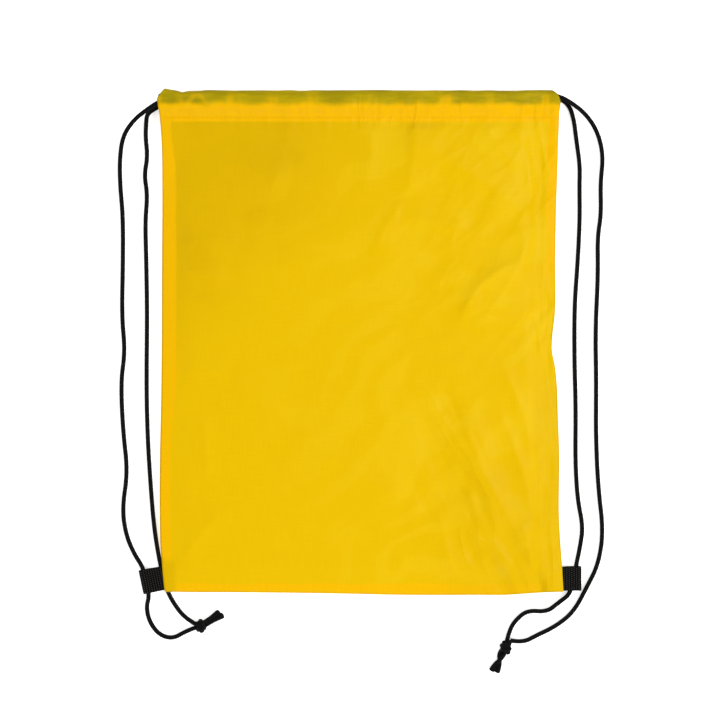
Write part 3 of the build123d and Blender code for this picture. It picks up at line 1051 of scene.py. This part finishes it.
up = np.array((0, 0, 1.0))
front_line = hem_line(front_grid) + up * cloth_t / 2
rear_inner_line = hem_line(rear_grid, outer=False) + up * cloth_t / 2
rear_outer_line = hem_line(rear_grid) - up * cloth_t / 4
rear_row = "rear_casing_stitching"
stitch_row("front_hem_stitches", front_line, up, "front", node="front_casing_stitching")
stitch_row("rear_hem_stitches", rear_inner_line, up, "bag", node=rear_row)
stitch_row("rear_hem_outer_stitches", rear_outer_line, -up, "bag", node=rear_row)

for side, edge, inward, axis, trim, steps, seed in (
    ("left", left_edge, 1, 1, 1.5 * MM, 180, 71),
    ("right", right_edge, -1, 1, 1.5 * MM, 180, 71),
    ("bottom", bottom_edge, 1, 0, 0, 150, 72),
):
    piece, raw_edge = allowance(side, edge, inward, axis, trim, steps, seed)
    line = raw_edge + up * 0.25 * MM
    line[:, 1 - axis] -= inward * 0.9 * MM
    across = (1, 0.25, 0) if axis == 1 else (0.25, 1, 0)
    stitch_row(f"{side}_overlock", line, up, "bag", 2.0 * MM, 2.4 * MM, across, f"{side}_seam_stitching")


# ---- tabs
tab_w = 20  # width of the webbing in millimetres
tab_step = 0.25  # from one row of its mesh to the next, in millimetres


def build_tab(side, root, heading, length):
    """A webbing loop: out along the upper layer, round the fold and back along the lower layer."""
    ahead, aside = turned(heading)
    fold_u = length - tab_z
    section = [
        (-5.5, 6.12), (-2.0, 6.12), (1.5, 5.95), (5.0, 5.50), (9.0, 5.48), (fold_u - 1.0, 5.46),
        (length - 0.35, 5.40), (length - 0.35, 0.55), (fold_u - 1.0, 0.50), (10.2, 0.50), (8.6, 0.62),
        (4.2, 4.30), (1.5, 5.05), (-2.0, 5.45), (-5.5, 5.45),
    ]
    line = spaced(nurbs_line([(u, 0, z) for u, z in section]), tab_step * MM)
    width = np.linspace(-tab_w / 2, tab_w / 2, 65) * MM
    along = np.arange(len(line)) * tab_step
    root_xyz = np.array((*root, 0)) * MM
    edge_sag = 0.12 * MM * value_noise(along[:, None] * MM * 4, width[None, :] * 0, 20 * MM, 81)
    grid = (
        root_xyz
        + ahead * line[:, 0][:, None, None]
        + aside * width[None, :, None]
        + up * line[:, 2][:, None, None]
    )
    grid = grid + ahead * edge_sag[:, :, None]
    rib = along[:, None] * MM / webbing_rib
    crest = smooth((np.cos(rib * math.tau) + 0.2) / 1.0)
    yarn = np.cos((width[None, :] / webbing_yarn + 0.5 * np.floor(rib + 0.5)) * math.tau)
    relief = 0.16 * crest + 0.10 * crest * yarn - 0.10
    thin = 0.62 + 0.38 * smooth((line[:, 0] / MM + 0.5) / 3.5)
    selvedge = 1 - 0.25 * smooth((abs(width) / MM - 9.0) / 0.9)
    thickness = (0.86 + relief) * thin[:, None] * selvedge[None, :] * MM
    uv = np.stack(np.broadcast_arrays(along[:, None] * MM, width[None, :]), axis=2)
    piece = cloth_sheet(f"{side}_webbing_tab", grid, uv, thickness)
    dress(piece, webbing)
    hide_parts(f"{side}_tab")
    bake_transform(piece)


build_tab("left", (-166.0, -197.3), 192.0, 17.1)
build_tab("right", (166.0, -197.5), 0.0, 19.4)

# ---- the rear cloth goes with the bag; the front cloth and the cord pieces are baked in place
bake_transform(front_cloth)
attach(rear_cloth, "bag")
for side, pieces in cord_pieces.items():
    tab = f"{side}_tab"
    low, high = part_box(tab)
    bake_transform(pieces["lower"])
    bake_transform(pieces["middle"])
    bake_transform(pieces["main"])
    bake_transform(pieces["rise"])

# ---- each cord piece's line, looked up for both sides
for side, knot in (("left", left_knot), ("right", right_knot)):
    for part in ("lower", "middle", "rise", "main"):
        line = cord_lines[side, part]

# ---- floor, light and camera
floor_reach = 3.0  # metres from the middle to each edge
floor_z = -0.2 * MM
corners = ((-1, -1), (1, -1), (1, 1), (-1, 1))
floor_points = [(x * floor_reach, y * floor_reach, floor_z) for x, y in corners]
floor = new_object("floor", floor_points, [(0, 1, 2, 3)])
floor.data.materials.append(floor_material())


def softbox(name, place, size, power, diffuse=True):
    """A square area light that faces the bag. The diffuse ones light it; the other is seen in its sheen."""
    data = bpy.data.lights.new(name, "AREA")
    data.shape = "SQUARE"
    data.size = size
    data.energy = power
    made = linked(f"softbox_{name}", data)
    made.location = place
    made.rotation_euler = (-Vector(place)).to_track_quat("-Z", "Y").to_euler()
    made.visible_diffuse = diffuse
    made.visible_glossy = not diffuse


# name, place and size in metres, power in watts
softbox("right", (2.3, -1.1, 3.0), 1.6, 132)
softbox("left", (-2.9, 1.3, 3.0), 2.2, 76)
softbox("low", (-0.6, -3.2, 2.6), 2.2, 30)
softbox("high", (0.8, 3.2, 2.6), 2.2, 18)
softbox("sheen", (1.45, 0.3, 2.9), 0.9, 11, diffuse=False)

world = bpy.data.worlds.new("studio")
world.use_nodes = True
feed(world.node_tree.nodes["Background"], {"Color": (1, 1, 1, 1), "Strength": 0.12})
bpy.context.scene.world = world
bpy.context.scene.view_settings.view_transform = "Standard"

view_w = 602.4 * MM  # width of the view at the height of the cords
view_x, view_y = 0.3 * MM, -15.0 * MM  # what the camera stands above
camera_data = bpy.data.cameras.new("camera")
camera_data.lens = 85
camera_data.sensor_width = 36
camera_data.clip_start = 0.05
camera = linked("camera", camera_data)
camera.location = (view_x, view_y, view_w * camera_data.lens / camera_data.sensor_width + lies_z * MM)
bpy.context.scene.camera = camera
